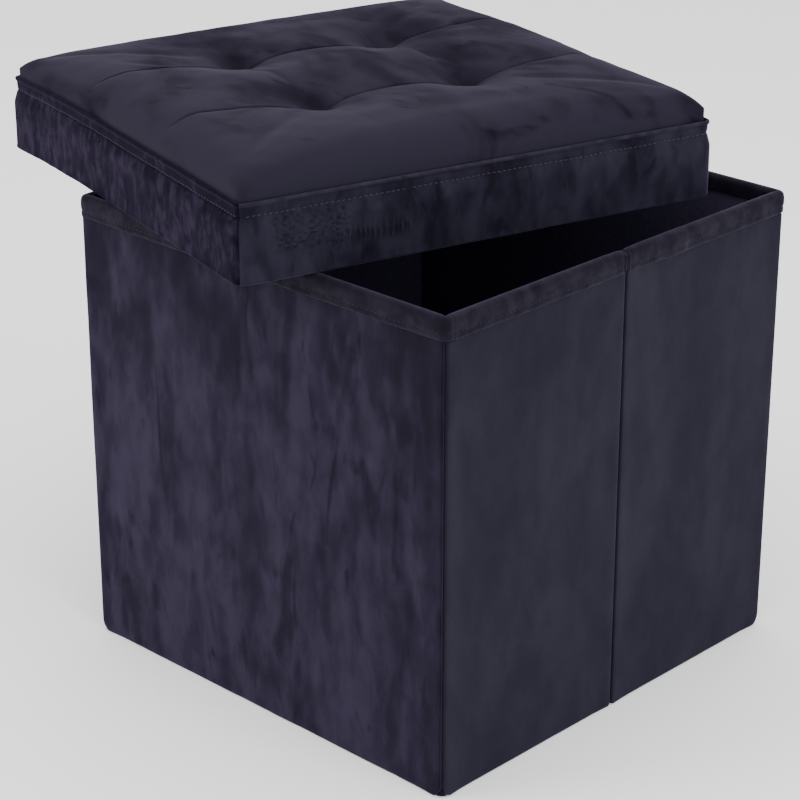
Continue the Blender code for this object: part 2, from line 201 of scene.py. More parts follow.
# ---- Materials ----
def fill(node, inputs):
    """Set a node's inputs from (name, value) pairs."""
    for key, value in inputs:
        node.inputs[key].default_value = value


class Nodes:
    """A short way to write a material's node tree."""

    def __init__(self, name):
        self.material = bpy.data.materials.new(name)
        self.material.use_nodes = True
        self.tree = self.material.node_tree
        self.shader = self.tree.nodes["Principled BSDF"]

    def add(self, kind, inputs=(), **values):
        """A node with its settings, and its inputs as (name, value) pairs."""
        node = self.tree.nodes.new(kind)
        for key, value in values.items():
            setattr(node, key, value)
        fill(node, inputs)
        return node

    def join(self, source, target):
        self.tree.links.new(source, target)

    def object_place(self, scale, turn=0.0):
        """The object's own coordinates, turned about Z and scaled along each axis."""
        place = self.add("ShaderNodeTexCoord")
        turned = self.add("ShaderNodeMapping", [("Rotation", (0.0, 0.0, -turn))])
        scaled = self.add("ShaderNodeMapping", [("Scale", scale)])
        self.join(place.outputs["Object"], turned.inputs["Vector"])
        self.join(turned.outputs["Vector"], scaled.inputs["Vector"])
        return scaled.outputs["Vector"]

    def noise(self, scale, turn=0.0, detail=3.0, rough=0.55, twist=0.0):
        """A noise value, stretched by its scale along each axis."""
        node = self.add("ShaderNodeTexNoise", [("Scale", 1.0), ("Detail", detail),
                                               ("Roughness", rough), ("Distortion", twist)])
        self.join(self.object_place(scale, turn), node.inputs["Vector"])
        return node.outputs["Fac"]

    def maths(self, operation, first, second):
        """A Math node on two values or sockets."""
        node = self.add("ShaderNodeMath", operation=operation)
        for socket, value in zip(node.inputs, (first, second)):
            if isinstance(value, (int, float)):
                socket.default_value = value
            else:
                self.join(value, socket)
        return node.outputs[0]

    def total(self, *terms):
        """The sum of (value, weight) pairs."""
        result = 0.0
        for value, weight in terms:
            result = self.maths("ADD", result, self.maths("MULTIPLY", value, weight))
        return result

    def spread(self, value, low, high, to_low, to_high):
        """Map a value's range to another, smoothly."""
        node = self.add("ShaderNodeMapRange", [
            ("From Min", low), ("From Max", high), ("To Min", to_low), ("To Max", to_high)],
            interpolation_type="SMOOTHSTEP")
        self.join(value, node.inputs["Value"])
        return node.outputs["Result"]

    def colours(self, value, stops):
        """The base colour, along a value."""
        node = self.add("ShaderNodeValToRGB")
        elements = node.color_ramp.elements
        while len(elements) < len(stops):
            elements.new(0.5)
        for element, (place, colour) in zip(elements, stops):
            element.position = place
            element.color = (*colour, 1.0)
        self.join(value, node.inputs["Fac"])
        self.join(node.outputs["Color"], self.shader.inputs["Base Color"])

    def relief(self, height, strength, distance):
        """Bump from a height."""
        node = self.add("ShaderNodeBump", [("Strength", strength), ("Distance", distance)])
        self.join(height, node.inputs["Height"])
        self.join(node.outputs["Normal"], self.shader.inputs["Normal"])


def velvet(name, shade, streak, turn=0.0, contrast=(0.45, 0.2, 0.3), painted_shading=(),
           tint=(0.50, 0.42, 0.78), sheen=0.3, gloss=0.1):
    """Crushed velvet: soft nap streaks, sparse dark smears, mottling and a fine pile.

    shade is (dark, middle, light), streak the streaks' scale along each axis, and contrast
    the weights of streaks, mottling and smears. Each shading entry paints shade or light into
    the colour along an axis: (axis, where it starts, where it is full, by how much), where a
    positive amount is painted shade and a negative one painted light.
    """
    nodes = Nodes(name)
    streaks = nodes.noise(streak, turn, 2.0, 0.45, 0.5)
    mottling = nodes.noise(tuple(1.8 * s + 22 for s in streak), turn, 3.0, 0.55, 0.3)
    smears = nodes.noise(tuple(1.35 * s + 2 for s in streak), turn + 0.35, 3.0, 0.5, 1.2)
    weave = nodes.noise((330, 330, 260), turn, 2.0, 0.6)
    pile = nodes.noise((1300, 1300, 1300), turn, 2.0, 0.7)
    fine = nodes.total((weave, 0.5), (pile, 0.5))
    value = nodes.total((nodes.spread(streaks, 0.28, 0.72, -0.5, 0.5), contrast[0]),
                        (nodes.spread(mottling, 0.3, 0.7, -0.5, 0.5), contrast[1]),
                        (nodes.spread(smears, 0.57, 0.74, 0.0, 1.0), -contrast[2]),
                        (fine, 0.16), (0.47, 1.0))
    # Painted shade and light: the colour darkens or lightens along each given axis.
    for axis, low, high, drop in painted_shading:
        place = nodes.add("ShaderNodeTexCoord")
        split = nodes.add("ShaderNodeSeparateXYZ")
        nodes.join(place.outputs["Object"], split.inputs["Vector"])
        value = nodes.maths("SUBTRACT", value,
                            nodes.spread(split.outputs[axis], low, high, 0.0, drop))
    dark, middle, light = shade
    nodes.colours(value, ((0.10, dark), (0.5, middle), (0.90, light)))
    nodes.join(nodes.spread(value, 0.2, 0.8, 0.95, 0.74), nodes.shader.inputs["Roughness"])
    nodes.relief(nodes.total((mottling, 0.7), (fine, 0.5)), 0.3, 0.0009)
    fill(nodes.shader, [("Specular IOR Level", gloss), ("Sheen Weight", sheen),
                        ("Sheen Roughness", 0.42), ("Sheen Tint", (*tint, 1.0))])
    return nodes.material


def fibres(name, dark, light, scale, roughness, bump_strength):
    """A plain fibrous material: non-woven lining, board, thread or felt."""
    nodes = Nodes(name)
    coarse = nodes.noise(scale, 0.0, 4.0, 0.6, 0.4)
    fine = nodes.noise(tuple(6 * s for s in scale), 0.0, 2.0, 0.6)
    value = nodes.total((coarse, 0.6), (fine, 0.4))
    nodes.colours(value, ((0.35, dark), (0.65, light)))
    nodes.join(nodes.spread(fine, 0.3, 0.7, roughness - 0.08, roughness + 0.06),
               nodes.shader.inputs["Roughness"])
    nodes.relief(value, bump_strength, 0.0006)
    fill(nodes.shader, [("Specular IOR Level", 0.25)])
    return nodes.material


def stage_material():
    """The plain pale floor."""
    nodes = Nodes("stage_floor")
    fill(nodes.shader, [("Base Color", (0.96, 0.96, 0.96, 1.0)), ("Roughness", 0.9),
                        ("Specular IOR Level", 0.1)])
    return nodes.material


# Pile colours, each (dark, middle, light). PURPLE is the front and back walls' velvet and RIM the
# binding's; the other sets are copies of the same velvet, made lighter, darker or bluer as
# painted light and shade for the side walls, the lid's top and the sides of its band, and a
# lighter copy as a painted highlight on the piping.
PURPLE = ((0.0022, 0.0013, 0.0046), (0.0068, 0.0047, 0.0132), (0.0128, 0.0094, 0.0225))
SIDE_PAINTED_TONE = ((0.0042, 0.0036, 0.0080), (0.0064, 0.0056, 0.0117), (0.0088, 0.0079, 0.0154))
RIM = ((0.0016, 0.0011, 0.0033), (0.0036, 0.0029, 0.0068), (0.0065, 0.0054, 0.0110))
LID_TOP = ((0.0014, 0.0010, 0.0030), (0.0048, 0.0037, 0.0083), (0.0124, 0.0104, 0.0186))
LID_LEFT = ((0.0008, 0.0003, 0.0020), (0.0021, 0.0010, 0.0049), (0.0072, 0.0042, 0.0138))
LID_RIGHT = ((0.0026, 0.0020, 0.0056), (0.0062, 0.0051, 0.0120), (0.0104, 0.0092, 0.0184))
# Painted highlight: a lighter copy of the velvet for the piping ridge along the lid's seam.
PIPE_PAINTED_HIGHLIGHT = ((0.0050, 0.0040, 0.0085), (0.0110, 0.0090, 0.0170), (0.0190, 0.0160, 0.0270))
# Painted light: a bluer sheen tint for the side walls and the lid band's +X and -X sides,
# standing in for the cooler light on them.
BLUER_PAINTED_LIGHT = (0.46, 0.42, 0.74)

# Painted shade and light: where the velvet's colour is darkened for shadow, each (axis, where it
# starts, where it is full, by how much).
# Painted shadow of the lid: the front and back walls darken towards their tops.
LID_SHADOW_PAINT = ("Z", 0.22, RIM_LOW, 0.16)
# Painted shade: the front and back walls darken towards their +X ends, by the near corner.
CORNER_SHADE_PAINT = ("X", HALF_W - 0.055, HALF_W, 0.24)
# Painted shade: the front and back sides of the lid's band darken in the strip just below the
# seam.
SEAM_SHADE_PAINT = ("Z", LID_LOW + LID_SEAM - 0.0120, LID_LOW + LID_SEAM - 0.0085, 0.36)
FRONT_VELVET = velvet("velvet_front", PURPLE, (33, 33, 9), contrast=(0.48, 0.34, 0.42),
                      painted_shading=(LID_SHADOW_PAINT, CORNER_SHADE_PAINT), sheen=0.18)
# Painted light: the side walls' copy of the velvet, bluer for the cooler light that falls on
# them.
SIDE_VELVET = velvet("velvet_side", SIDE_PAINTED_TONE, (24, 20, 9), contrast=(0.3, 0.15, 0.1),
                     tint=BLUER_PAINTED_LIGHT, sheen=0.14)
RIM_VELVET = velvet("velvet_rim", RIM, (60, 60, 60), contrast=(0.4, 0.25, 0.2), sheen=0.12)
# Painted light: the lid top's colour grows lighter towards the front and the right.
LID_TOP_VELVET = velvet("velvet_lid_top", LID_TOP, (11, 20, 16), LID_TURN,
                        contrast=(0.5, 0.15, 0.3), sheen=0.04, gloss=0.04,
                        painted_shading=(("Y", 0.02, -0.15, -0.27), ("X", -0.06, 0.08, -0.30)))
LID_LEFT_VELVET = velvet("velvet_lid_left", LID_LEFT, (92, 92, 50), LID_TURN + 0.2,
                         contrast=(0.6, 0.45, 0.5), painted_shading=(SEAM_SHADE_PAINT,),
                         tint=(0.46, 0.32, 0.80), sheen=0.08, gloss=0.05)
LID_RIGHT_VELVET = velvet("velvet_lid_right", LID_RIGHT, (42, 42, 20), LID_TURN,
                          contrast=(0.5, 0.35, 0.35), tint=BLUER_PAINTED_LIGHT, sheen=0.14)
PIPE_PAINTED_HIGHLIGHT_VELVET = velvet("velvet_piping_painted_highlight", PIPE_PAINTED_HIGHLIGHT, (60, 60, 60), contrast=(0.4, 0.3, 0.2),
                         sheen=0.2)
LINING = fibres("lining_nonwoven", (0.034, 0.028, 0.060), (0.058, 0.050, 0.092),
                (300, 300, 300), 0.9, 0.35)
BOARD = fibres("board_fibre", (0.16, 0.105, 0.06), (0.27, 0.19, 0.12), (90, 140, 90), 0.85, 0.3)
THREAD = fibres("thread_twist", (0.016, 0.014, 0.025), (0.040, 0.035, 0.056),
                (500, 500, 500), 0.7, 0.3)
RIM_THREAD = fibres("thread_dark", (0.005, 0.004, 0.008), (0.014, 0.012, 0.020),
                    (500, 500, 500), 0.8, 0.3)
WASHER = fibres("washer_felt", (0.010, 0.010, 0.012), (0.022, 0.021, 0.026),
                (400, 400, 400), 0.88, 0.4)


# ---- Walls ----
FULL_WALLS = ("front", "back")
CREASED_WALLS = ("right", "left")


def wall_point(face, along, depth, up):
    """A point of a wall: along it, this deep behind its outer face, and this high."""
    sign = 1 if face in ("back", "right") else -1
    if face in FULL_WALLS:
        return Vector((along, sign * (HALF_D - depth), up))
    return Vector((sign * (HALF_W - depth), along, up))


FACE_SEED = {"front": 0.0, "back": 7.3, "right": 3.1, "left": 11.9}
FACE_WAVE = {"front": 1.0, "back": 0.8, "right": 0.35, "left": 0.45}


def wall_relief(face, along, up):
    """How far the velvet stands in or out of a wall's flat face, dents and slack."""
    seed = FACE_SEED[face]
    drape = ripple(along * 34, seed, up * 7)
    dents = ripple(along * 55, seed + 2, up * 26)
    creased = max(0.0, ripple(along * 70 + up * 12, seed + 5, up * 9) - 0.25)
    slack = 0.45 * drape + 0.25 * dents - 0.9 * creased
    return 0.00085 * FACE_WAVE[face] * slack


def foot_pull(up, radius):
    """How far a rounded lower corner pulls a wall's end in at this height."""
    if up >= radius:
        return 0.0
    return radius - math.sqrt(max(radius ** 2 - (radius - up) ** 2, 0.0))


def slab_ring(face, up, ends, inset):
    """One level of a wall panel: its outline seen from above.

    ends holds, for the start and the end, (place, lean, foot radius, edge radius), where
    lean is 1 for a mitred end and 0 for a square one.
    """
    (start, start_lean, start_foot, start_round), (end, end_lean, end_foot, end_round) = ends
    cells = max(2, round((end - start) / CELL))
    start += foot_pull(up, start_foot)
    end -= foot_pull(up, end_foot)
    first, last = start + start_round, end - end_round
    outline = [(start + start_lean * SLAB, SLAB)]
    outline += curve_through((start + start_lean * start_round, start_round), (start, 0.0),
                             (first, 0.0))
    outline += [(first + (last - first) * i / cells, 0.0) for i in range(1, cells)]
    outline += curve_through((last, 0.0), (end, 0.0), (end - end_lean * end_round, end_round))
    outline.append((end - end_lean * SLAB, SLAB))
    ring = []
    for along, depth in outline:
        near_face = max(0.0, 1.0 - depth / SKIN)
        to_edge = min(along - start, end - along)
        out = wall_relief(face, along, up) + EDGE_BEAD * bump(to_edge, 0.0, EDGE_BEAD_WIDTH)
        ring.append(wall_point(face, along, depth + (inset - out) * near_face, up))
    return ring


def slab_levels(low, high, rounded_foot):
    """Heights of a panel's levels, each with how far its foot's rounding pulls it in."""
    levels = []
    if rounded_foot:
        for step in range(4):
            angle = math.pi / 8 * step
            levels.append((low + FOOT_ROUND * (1 - math.cos(angle)),
                           FOOT_ROUND * (1 - math.sin(angle))))
        low += FOOT_ROUND
    return levels + [(up, 0.0) for up in spaced(low, high, CELL)]


def wall_panel(name, face, ends, low, high, body, material, replaced, rounded_foot):
    """A velvet-covered wall panel as one soft slab."""
    rings = [slab_ring(face, up, ends, inset)
             for up, inset in slab_levels(low, high, rounded_foot)]
    panel = make_object(name, *loft(rings), material, sharp=50)
    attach(panel, body)
    if replaced:
        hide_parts(*replaced)
    return panel


def panel_with_hem(name, face, ends, body, material, replaced):
    """A folding wall's panel, and the soft hem under it."""
    low = UNDERCUT + HEM_LOW
    cut_back = RIM_LOW - 0.001
    wall_panel(name, face, ends, low, cut_back, body, material, replaced, False)
    whole = face in FULL_WALLS
    top_ends = tuple((place if whole else math.copysign(min(abs(place), SIDE_END), place),
                      lean if whole else 0, 0.0, 0.0008) for place, lean, _, _ in ends)
    wall_panel(name + "_under_rim", face, top_ends, cut_back, WALL_TOP - 0.001, body,
               material, (), False)
    hem = wall_panel(name + "_hem", face, ends, HEM_LOW, low, body, material, (), True)
    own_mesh(hem)


def build_walls():
    """The front wall, the back wall and the four halves of the sides."""
    reach = HALF_W - MITRE_GAP
    full = ((-reach, 1, CORNER_FOOT, EDGE_ROUND), (reach, 1, CORNER_FOOT, EDGE_ROUND))
    wall_panel("front_wall_velvet", "front", full, HEM_LOW, WALL_TOP - 0.001, "front_wall",
               FRONT_VELVET, ("front_cover", "front_board", "front_left_corner_wrap",
                              "front_right_corner_wrap"), True)
    panel_with_hem("back_wall_velvet", "back", full, "back_wall", FRONT_VELVET,
                   ("back_cover", "back_board", "back_left_corner_wrap",
                    "back_right_corner_wrap"))
    deep = HALF_D - MITRE_GAP
    front_half = ((-deep, 1, CORNER_FOOT, EDGE_ROUND),
                  (-HALF_SLOT, 0, CREASE_FOOT, CREASE_ROUND))
    back_half = ((HALF_SLOT, 0, CREASE_FOOT, CREASE_ROUND),
                 (deep, 1, CORNER_FOOT, EDGE_ROUND))
    for side in CREASED_WALLS:
        for key, ends in ((side + "_front", front_half), (side + "_back", back_half)):
            panel_with_hem(key + "_velvet", side, ends, key + "_half", SIDE_VELVET,
                           (key + "_cover", key + "_board"))


def thin_strip(name, section, low, high, material):
    """An upright strip of velvet: a closed section (x, y) carried up from low to high."""
    rings = [[Vector((x, y, up)) for x, y in section] for up in spaced(low, high, 0.012)]
    return make_object(name, *loft(rings), material, sharp=60)


def crease_strip(side):
    """The velvet at the bottom of a side's crease, which is the crease's hinge."""
    sign = 1 if side == "right" else -1
    reach = HALF_SLOT - 0.0001
    steps = 10
    outer, inner = [], []
    for step in range(steps + 1):
        y = -reach + 2 * reach * step / steps
        sunk = 0.0014 + 0.0008 * (1 - (y / reach) ** 2)
        outer.append((sign * (HALF_W - sunk), y))
        inner.append((sign * (HALF_W - sunk - 0.0005), y))
    strip = thin_strip(side + "_crease_velvet", outer + inner[::-1], STRIP_LOW,
                       RIM_LOW - 0.001, SIDE_VELVET)
    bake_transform(strip)


def corner_name(x_sign, y_sign):
    return ("front" if y_sign < 0 else "back") + ("_right" if x_sign > 0 else "_left")


def corner_strip(x_sign, y_sign, bodies):
    """The velvet at the bottom of a corner's groove, from one wall to the next."""
    outer, inner = [], []
    steps = 14
    reach = MITRE_GAP * 1.2
    for step in range(steps + 1):
        across = -reach + 2 * reach * step / steps
        sunk = 0.0019 + 0.0004 * (1 - (across / reach) ** 2)
        for line, extra in ((outer, 0.0), (inner, 0.0005)):
            line.append((x_sign * (HALF_W - sunk - extra + across / 2),
                         y_sign * (HALF_D - sunk - extra - across / 2)))
    strip = thin_strip(corner_name(x_sign, y_sign) + "_corner_velvet", outer + inner[::-1],
                       STRIP_LOW, RIM_LOW - 0.0012, SIDE_VELVET)
    if len(bodies) == 1:
        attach(strip, bodies[0])
        return
    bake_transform(strip)


def corner_foot(x_sign, y_sign):
    """The velvet turned under at a corner's foot, behind the walls' rounded lower corners."""
    reach = 0.0075
    rings = []
    for up in (0.0005, 0.0012, 0.0022, 0.0034, 0.0050):
        square = 2.6 + 5.0 * up / 0.0050
        outer, inner = [], []
        for step in range(9):
            angle = math.pi / 2 * step / 8
            across = math.cos(angle) ** (2 / square) if step < 8 else 0.0
            along = math.sin(angle) ** (2 / square)
            for line, size in ((outer, reach - 0.0016), (inner, reach - 0.0024)):
                line.append(Vector((x_sign * (HALF_W - reach + size * across),
                                    y_sign * (HALF_D - reach + size * along), up)))
        rings.append(outer + inner[::-1])
    foot = make_object(corner_name(x_sign, y_sign) + "_corner_foot", *loft(rings),
                       FRONT_VELVET, sharp=60)
    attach(foot, "front_wall" if y_sign < 0 else "back_wall")
    if y_sign > 0:
        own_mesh(foot)


def build_strips():
    """Strips at the creases and corners."""
    for side in CREASED_WALLS:
        crease_strip(side)
    corner_strip(1, -1, ("front_wall", "right_front_half"))
    corner_strip(-1, -1, ("front_wall", "left_front_half"))
    corner_strip(1, 1, ("right_back_half", "back_wall"))
    corner_strip(-1, 1, ("back_wall",))
    for x_sign in (-1, 1):
        for y_sign in (-1, 1):
            corner_foot(x_sign, y_sign)


# ---- Rim binding ----
STITCH_UP = RIM_LOW + 0.0046


def binding_section(lift, pinch, along):
    """The binding's closed section as (depth, height), folded over the wall's top.

    lift raises the lower edge, pinch from 0 to 1 draws the fold in at a crease.
    """
    outer = -RIM_PROUD - 0.0003 + 0.0011 * pinch
    inner = RIM_INNER - 0.0008 * pinch
    top = RIM_TOP - 0.0013 * pinch
    low = RIM_LOW + lift
    wide = (inner - outer) / 2
    section = [(outer + 0.0010, low), (outer + 0.0003, low + 0.0001), (outer, low + 0.0006)]
    steps = 9
    for step in range(1, steps):
        up = low + 0.0006 + (top - wide * 0.75 - low - 0.0006) * step / steps
        groove = 0.00045 * bump(up, STITCH_UP + lift, 0.0009)
        puff = 0.00035 * math.sin(math.pi * (up - low) / (top - low))
        swell = 0.0002 * ripple(along * 90, up * 160, 4.0)
        section.append((outer + groove - puff + swell, up))
    for step in range(9):
        angle = math.pi * (1 - step / 8)
        section.append((outer + wide + wide * math.cos(angle),
                        top - wide * 0.75 + wide * 0.75 * math.sin(angle)))
    inner_low = RIM_TOP - 0.0120 + lift * 0.5
    section += [(inner, inner_low + 0.004), (inner, inner_low), (inner - 0.0011, inner_low)]
    section += [(inner - 0.0011, WALL_TOP - 0.0014), (outer + 0.0013, WALL_TOP - 0.0014)]
    return section


def binding_lift(along):
    """The lower edge's small waves, and the fold's slight changes in height."""
    return 0.0005 * ripple(along * 22, 1.7, 0.0) + 0.0003 * ripple(along * 75, 8.2, 0.0)


def front_path(face):
    """Places along a full wall's rim that turn both corners: (point, outward, turning)."""
    radius = RIM_TURN
    sign = -1 if face == "front" else 1
    path = []
    for x_sign in (-1, 1):
        leg = []
        centre = Vector((x_sign * (HALF_W - radius), sign * (HALF_D - radius)))
        for y in spaced(HALF_D - RIM_TURN_REACH, HALF_D - radius, 0.0012)[:-1]:
            leg.append((Vector((x_sign * HALF_W, sign * y)), Vector((x_sign, 0.0)), True))
        for step in range(9):
            angle = math.pi / 2 * step / 8
            out = Vector((x_sign * math.cos(angle), sign * math.sin(angle)))
            leg.append((centre + out * radius, out, True))
        if x_sign < 0:
            path += leg
            straight = spaced(-(HALF_W - radius), HALF_W - radius, CELL)[1:-1]
            path += [(Vector((x, sign * HALF_D)), Vector((0.0, sign)), False) for x in straight]
        else:
            path += leg[::-1]
    return path


def wrapped_binding(face):
    """A full wall's binding, which turns both corners."""
    path = front_path(face)
    rings = []
    for index, (point, out, turning) in enumerate(path):
        along = point.x + point.y
        ends = min(index, len(path) - 1 - index) * 0.0012
        fold = 0.6 * bump(ends, 0.009, 0.004)
        ring = []
        for depth, up in binding_section(binding_lift(along), 0.35 * fold, along):
            if turning:
                depth = min(depth, RIM_TURN - 0.0003)
            elif abs(point.x) > HALF_W - RIM_INNER:
                depth = min(depth, max(RIM_TURN, HALF_W - abs(point.x)))
            ring.append(Vector((point.x - out.x * depth, point.y - out.y * depth, up)))
        rings.append(ring)
    binding = make_object(face + "_binding", *loft(rings), RIM_VELVET, sharp=55)
    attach(binding, face + "_wall")
    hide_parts(face + "_rim_binding")


def side_binding(side, half):
    """The binding of half a side, pinched where it meets the crease."""
    sign = 1 if half == "back" else -1
    rings = []
    for along in spaced(HALF_SLOT, SIDE_END, 0.0022):
        pinch = 0.9 * bump(along, 0.0, 0.0045) + 0.25 * bump(along, 0.011, 0.004)
        lift = binding_lift(sign * along)
        raised = 0.0
        if (side, half) == ("right", "back"):
            raised = 0.0009 * (1 - smooth(RIM_JOINT_AT, RIM_JOINT_AT + 0.003, along)) * smooth(
                RIM_JOINT_AT - 0.028, RIM_JOINT_AT - 0.008, along)
        ring = []
        for depth, up in binding_section(lift, pinch, sign * along):
            proud = -raised if depth < 0.001 else 0.0
            taller = 0.2 * raised if up > RIM_TOP - 0.006 and depth < RIM_INNER else 0.0
            ring.append(wall_point(side, sign * along, depth + proud, up + taller))
        rings.append(ring)
    key = side + "_" + half
    binding = make_object(key + "_binding", *loft(rings), RIM_VELVET, sharp=55)
    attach(binding, key + "_half")
    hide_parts(key + "_rim_binding")


def crease_binding(side):
    """The bit of binding that bridges a crease, outside the fold."""
    reach = 0.0042
    rings = []
    for along in spaced(-reach, reach, 0.0007):
        middle = bump(along, 0.0, 0.0014)
        out = 0.0002 + 0.0009 * bump(abs(along), 0.0022, 0.0012) - 0.0005 * middle
        ends = 0.0010 * smooth(reach * 0.6, reach, abs(along))
        outer = [(-(out - ends), RIM_LOW + 0.0008 + 0.0012 * middle)]
        for step in range(1, 9):
            up = RIM_LOW + 0.001 + (RIM_TOP - 0.0035 - RIM_LOW) * step / 9
            outer.append((-(out - ends) - 0.0004, up))
        top = RIM_TOP - 0.0009 * middle - 0.0006
        outer += [(0.0001, top - 0.0015), (0.0010, top - 0.0005), (0.0026, top - 0.0002)]
        inner = [(depth + 0.0009, min(up, top - 0.0012)) for depth, up in outer[::-1]]
        rings.append([wall_point(side, along, depth - 0.0006, up)
                      for depth, up in outer + inner])
    bridge = make_object(side + "_crease_binding", *loft(rings), RIM_VELVET, sharp=55)
    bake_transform(bridge)


def stitch_rings(start, along, out, length, radius):
    """Rings of one stitch: a short thread that dips in at both ends."""
    up = out.cross(along)
    for place, sunk, size in ((-0.5, -1.2, 0.35), (-0.36, -0.1, 0.9), (0.0, 0.35, 1.0),
                              (0.36, -0.1, 0.9), (0.5, -1.2, 0.35)):
        centre = start + along * (place * length) + out * (sunk * radius)
        yield [centre + (out * math.cos(angle) + up * math.sin(angle)) * radius * size
               for angle in (math.tau * corner / 6 for corner in range(6))]


def stitch_row(name, places, body, length=0.0029, radius=0.00032, material=THREAD):
    """One object that holds a row of stitches: places are (point, along, outward)."""
    points, faces = [], []
    for place in places:
        some_points, some_faces = loft(list(stitch_rings(*place, length, radius)))
        faces += [tuple(i + len(points) for i in face) for face in some_faces]
        points += some_points
    row = make_object(name, points, faces, material)
    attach(row, body)
    return row


def binding_stitches():
    """Stitches that hold the binding, on every wall."""
    full = spaced(-HALF_W + 0.006, HALF_W - 0.006, STITCH_PITCH)
    rows = [(face, face, "_wall", 1, HALF_D, full) for face in FULL_WALLS]
    halved = spaced(0.009, SIDE_END - 0.003, STITCH_PITCH)
    rows += [(side, side + "_" + half, "_half", sign, 0.0, halved)
             for side in CREASED_WALLS for half, sign in (("front", -1), ("back", 1))]
    for face, key, kind, sign, shift, places_along in rows:
        out = wall_point(face, 0, -1, 0) - wall_point(face, 0, 0, 0)
        thread_way = Vector((1, 0, 0)) if kind == "_wall" else Vector((0, 1, 0))
        places = []
        for along in places_along:
            up = STITCH_UP + 2 * binding_lift(sign * along - shift)
            place = wall_point(face, sign * along, -RIM_PROUD - 0.0002, up)
            places.append((place, thread_way, out))
        stitch_row(key + "_binding_stitches", places, key + kind, material=RIM_THREAD)


def build_rim():
    """Binding, its bridges over the creases, and its stitches."""
    for face in FULL_WALLS:
        wrapped_binding(face)
    for side in CREASED_WALLS:
        for half in ("front", "back"):
            side_binding(side, half)
        crease_binding(side)
    binding_stitches()


# ---- Lid ----
def sagged(point):
    """A point of the lid in the part's frame; its overhanging left side sags a little."""
    placed = LID_MATRIX @ Vector(point)
    past = max(0.0, -placed.x - HALF_W - 0.008) / 0.13
    placed.z -= LEFT_SAG * past ** 1.4
    return placed


def roll(edge_distance):
    """The pad's rounded shoulder, from 0 at its seam to 1 on top."""
    return math.sqrt(1 - (1 - min(max(edge_distance, 0.0) / SHOULDER, 1.0)) ** 2.2)


def dome(x, y):
    """Height of the pad above its seam, before it is tufted."""
    across, along = min(abs(x) / LID_HALF, 1.0), min(abs(y) / LID_HALF, 1.0)
    flat = 0.93 + 0.07 * (1 - across ** 2) * (1 - along ** 2)
    flat *= 1 - LEFT_SLACK * smooth(-0.03, -0.17, x)
    from_x, from_y = max(LID_HALF - abs(x), 0.0), max(LID_HALF - abs(y), 0.0)
    return CROWN * flat * roll(from_x * from_y / max(math.hypot(from_x, from_y), 1e-9))


def tufted(x, y):
    """How far the tufts and the channels between them pull the pad down."""
    away = min(math.hypot(x - tuft_x, y - tuft_y) for tuft_x, tuft_y in TUFTS)
    pull = TUFT_DEPTH * math.exp(-((away / 0.0170) ** 1.15))
    edge = smooth(LID_HALF - 0.006, LID_HALF - 0.07, max(abs(x), abs(y)))
    rows = 0.0030 * math.exp(-abs(abs(x) - TUFT) / 0.014)
    columns = 0.0009 * math.exp(-abs(abs(y) - TUFT) / 0.018)
    return (pull + (rows + columns) * (1 - pull / TUFT_DEPTH)) * edge


def crease_cut(x, y):
    """Depth of the sharp crease lines, from tuft to tuft and out to the edge."""
    wander = 0.0022 * ripple(y * 22, x * 3, 2.0)
    line = abs(abs(x) - TUFT - wander)
    reach = smooth(LID_HALF - 0.004, LID_HALF - 0.030, abs(y))
    toward_front = 1.0 - 0.45 * smooth(-TUFT, -TUFT + 0.02, y) - 0.25 * smooth(
        TUFT - 0.02, TUFT, y)
    cut = 0.0018 * bump(line, 0.0, 0.0011) * reach * toward_front
    soft = abs(abs(y) - TUFT - 0.003 * ripple(x * 20, 6.0, 1.0))
    return cut + 0.0004 * bump(soft, 0.0, 0.0015) * bump(abs(x), TUFT, 0.030)


def tuft_folds(x, y):
    """Small folds that run out from each tuft."""
    height = 0.0
    for tuft_x, tuft_y in TUFTS:
        away = math.hypot(x - tuft_x, y - tuft_y)
        if away > 0.05:
            continue
        angle = math.atan2(y - tuft_y, x - tuft_x)
        fan = math.cos(7 * angle + 3 * ripple(tuft_x * 30, tuft_y * 30, 0.5))
        height += 0.00025 * fan * smooth(0.0, 0.006, away) * math.exp(-away / 0.013)
    return height


def pad_lines():
    """Grid places across the pad, closer together at the tuft rows and the edges."""
    fine = np.linspace(-1.0, 1.0, 4001)
    where = np.abs(np.abs(fine) * LID_HALF - TUFT)
    density = 1.0 + 1.8 * np.exp(-(where / 0.008) ** 2) + 1.2 * np.abs(fine) ** 24
    total = np.concatenate([[0.0], np.cumsum((density[1:] + density[:-1]) / 2)])
    return np.interp(np.linspace(0, total[-1], PAD_CELLS + 1), total, fine)


PAD_EDGE = LID_HALF - BAND_THICK - 0.0002


def rounded_square(x, y):
    """A point of the pad's square grid, moved into a square with round corners."""
    straight = PAD_EDGE - LID_ROUND
    past_x, past_y = abs(x) - straight, abs(y) - straight
    if past_x <= 0 or past_y <= 0:
        return x, y
    pull = max(past_x, past_y) / math.hypot(past_x, past_y)
    return (math.copysign(straight + past_x * pull, x),
            math.copysign(straight + past_y * pull, y))


def pad_mesh():
    """The pad's sheet as points and faces, and which points are held: seam and tufts."""
    lines = pad_lines()
    count = len(lines)
    seam = LID_SEAM - 0.0008
    points, held = [], []
    for row in range(count):
        for column in range(count):
            x, y = rounded_square(lines[column] * PAD_EDGE, lines[row] * PAD_EDGE)
            height = seam + max(dome(x, y) - tufted(x, y), 0.0)
            near = math.hypot(abs(x) - TUFT, abs(y) - TUFT)
            if near < TUFT_HELD or row in (0, count - 1) or column in (0, count - 1):
                held.append(len(points))
            points.append((x, y, height))
    corners = [row * count + column for row in range(count - 1) for column in range(count - 1)]
    return points, [(a, a + 1, a + count + 1, a + count) for a in corners], held


